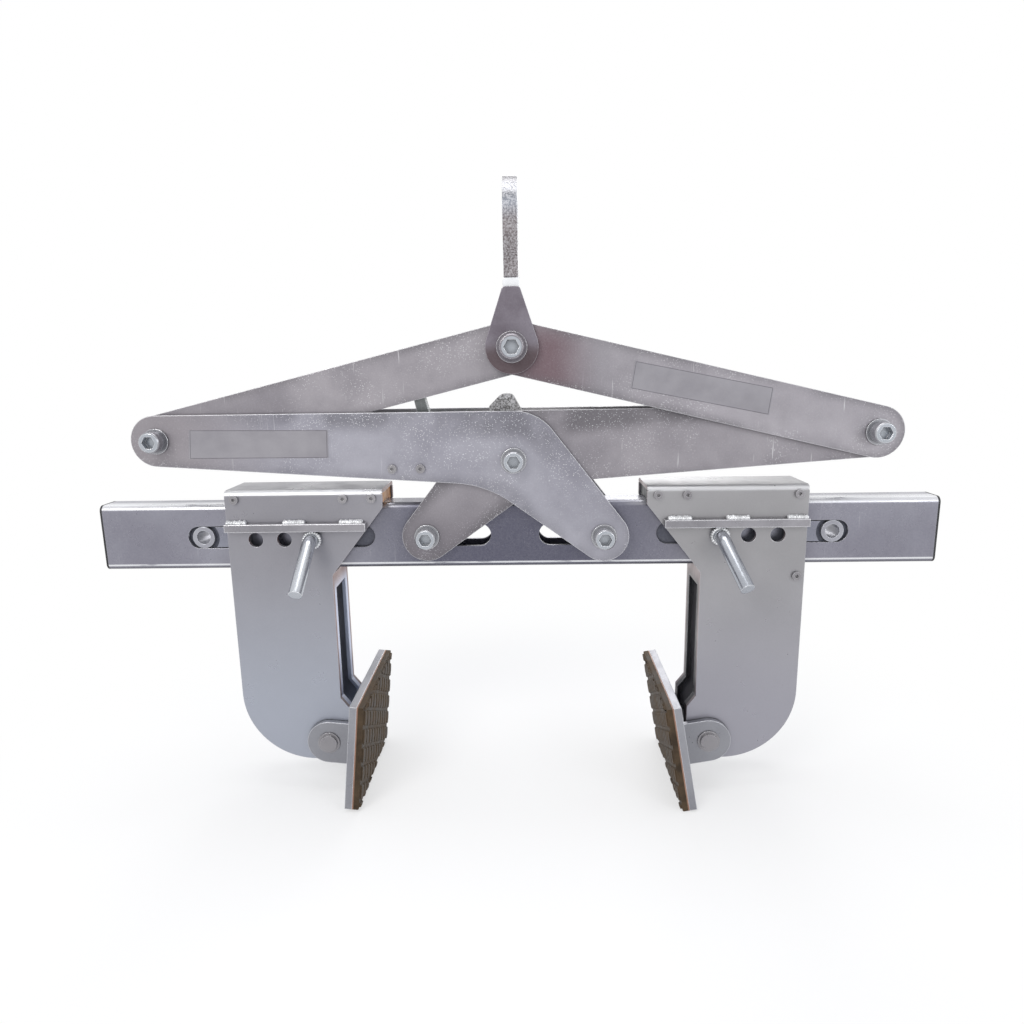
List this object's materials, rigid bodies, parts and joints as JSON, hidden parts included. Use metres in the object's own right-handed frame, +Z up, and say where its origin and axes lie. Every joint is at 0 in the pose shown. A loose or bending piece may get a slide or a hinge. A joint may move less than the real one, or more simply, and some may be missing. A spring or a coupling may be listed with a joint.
{
  "type": "horizontal stone lifting clamp",
  "caption": "Scissor clamp that hangs from a crane hook and grips a stone slab between two swivelling rubber pads on sliding legs.",
  "frame": {"origin": "under the middle of the whole outline, on the plane that the pads stand on", "axes": "+X along the beam to the right seen from the front, +Y to the rear, +Z up to the lifting eye"},
  "size_m": [1.252, 0.2466, 0.9146],
  "materials": {
    "beam_zinc": "zinc plated, drawn steel tube",
    "link_zinc": "zinc plated flat bar",
    "leg_zinc": "zinc plated welded plate",
    "pad_zinc": "zinc plated plate",
    "bolt_zinc": "zinc plated hardware",
    "pin_zinc": "bright zinc plated round bar",
    "cap_black": "moulded plastic",
    "saddle_plastic": "sliding plastic",
    "pad_rubber": "ribbed moulded rubber"
  },
  "bodies": {
    "beam": {"main_beam": "beam_zinc", "left_end_cap": "cap_black", "right_end_cap": "cap_black", "centre_guide_plate": "link_zinc"},
    "centre_carriage": {"centre_bolt": "bolt_zinc", "centre_nut_set": "bolt_zinc"},
    "hook": {"hook_front_plate": "link_zinc", "hook_rear_plate": "link_zinc", "hook_bridge": "link_zinc", "lifting_eye": "pad_zinc", "top_bolt": "bolt_zinc", "top_nut_set": "bolt_zinc"},
    "left_leg": {"left_slide_bar": "bolt_zinc", "left_slide_sleeves": "bolt_zinc", "left_slide_keys": "bolt_zinc", "left_low_bolt": "bolt_zinc", "left_low_nut_set": "bolt_zinc", "left_leg_shell": "leg_zinc", "left_leg_cap": "leg_zinc", "left_leg_ribs": "leg_zinc", "left_pad_bush": "bolt_zinc", "left_beam_saddles": "saddle_plastic", "left_guide_screws": "bolt_zinc"},
    "left_lever": {"left_lever_front_plate": "link_zinc", "left_lever_rear_plate": "link_zinc", "left_outer_bolt": "bolt_zinc", "left_outer_nut_set": "bolt_zinc", "latch_bracket": "link_zinc", "latch_pin": "bolt_zinc", "latch_screws": "bolt_zinc"},
    "left_arm": {"left_arm_front_plate": "link_zinc", "left_arm_rear_plate": "link_zinc", "latch_rod": "bolt_zinc"},
    "left_lock": {"left_locking_pin": "pin_zinc"},
    "left_pad": {"left_pad_bracket": "pad_zinc", "left_pad_rubber": "pad_rubber", "left_pad_pin_set": "bolt_zinc"},
    "right_leg": {"right_slide_bar": "bolt_zinc", "right_slide_sleeves": "bolt_zinc", "right_slide_keys": "bolt_zinc", "right_low_bolt": "bolt_zinc", "right_low_nut_set": "bolt_zinc", "right_leg_shell": "leg_zinc", "right_leg_cap": "leg_zinc", "right_leg_ribs": "leg_zinc", "right_pad_bush": "bolt_zinc", "right_beam_saddles": "saddle_plastic", "right_guide_screws": "bolt_zinc"},
    "right_lever": {"right_lever_front_plate": "link_zinc", "right_lever_rear_plate": "link_zinc", "right_outer_bolt": "bolt_zinc", "right_outer_nut_set": "bolt_zinc"},
    "right_arm": {"right_arm_front_plate": "link_zinc", "right_arm_rear_plate": "link_zinc"},
    "right_lock": {"right_locking_pin": "pin_zinc"},
    "right_pad": {"right_pad_bracket": "pad_zinc", "right_pad_rubber": "pad_rubber", "right_pad_pin_set": "bolt_zinc"},
    "latch": {"latch_hook": "bolt_zinc"}
  },
  "joints": [
    {"name": "hook_lift", "type": "slide", "parent": "beam", "child": "hook", "axis": [0, 0, 1], "range_m": [0, 0.4684]},
    {"name": "centre_lift", "type": "slide", "parent": "beam", "child": "centre_carriage", "axis": [0, 0, 1], "range_m": [0, 0.05173]},
    {"name": "left_leg_slide", "type": "slide", "parent": "beam", "child": "left_leg", "axis": [1, 0, 0], "range_m": [0, 0.06789]},
    {"name": "right_leg_slide", "type": "slide", "parent": "beam", "child": "right_leg", "axis": [-1, 0, 0], "range_m": [0, 0.06789]},
    {"name": "left_lever_swing", "type": "hinge", "parent": "centre_carriage", "child": "left_lever", "pos_m": [0, 0.01377, 0.52211], "axis": [0, 1, 0], "range_deg": [0, 28.41]},
    {"name": "right_lever_swing", "type": "hinge", "parent": "centre_carriage", "child": "right_lever", "pos_m": [0, 0.01377, 0.52211], "axis": [0, -1, 0], "range_deg": [0, 28.41]},
    {"name": "left_arm_swing", "type": "hinge", "parent": "left_lever", "child": "left_arm", "pos_m": [-0.5173, 0.01377, 0.55661], "axis": [0, -1, 0], "range_deg": [0, 48.36]},
    {"name": "right_arm_swing", "type": "hinge", "parent": "right_lever", "child": "right_arm", "pos_m": [0.5173, 0.01377, 0.55661], "axis": [0, 1, 0], "range_deg": [0, 48.36]},
    {"name": "left_lock_pull", "type": "slide", "parent": "left_leg", "child": "left_lock", "axis": [0, -1, 0], "range_m": [0, 0.08]},
    {"name": "right_lock_pull", "type": "slide", "parent": "right_leg", "child": "right_lock", "axis": [0, -1, 0], "range_m": [0, 0.08]},
    {"name": "left_pad_tilt", "type": "hinge", "parent": "left_leg", "child": "left_pad", "pos_m": [-0.294, 0.01377, 0.08461], "axis": [0, 1, 0], "range_deg": [-10.85, 6.15]},
    {"name": "right_pad_tilt", "type": "hinge", "parent": "right_leg", "child": "right_pad", "pos_m": [0.294, 0.01377, 0.08461], "axis": [0, -1, 0], "range_deg": [-14.86, 2.14]},
    {"name": "latch_swing", "type": "hinge", "parent": "left_lever", "child": "latch", "pos_m": [-0.12, 0.01377, 0.53811], "axis": [0, 1, 0], "range_deg": [0, 14]}
  ],
  "couplings": [
    {"joint": "centre_lift", "follows": "hook_lift", "ratio": 0.11044},
    {"joint": "left_leg_slide", "follows": "hook_lift", "ratio": 0.14495},
    {"joint": "right_leg_slide", "follows": "hook_lift", "ratio": 0.14495},
    {"joint": "left_lever_swing", "follows": "hook_lift", "rad_per_m": 1.0584},
    {"joint": "right_lever_swing", "follows": "hook_lift", "rad_per_m": 1.0584},
    {"joint": "left_arm_swing", "follows": "hook_lift", "rad_per_m": 1.8019},
    {"joint": "right_arm_swing", "follows": "hook_lift", "rad_per_m": 1.8019}
  ]
}
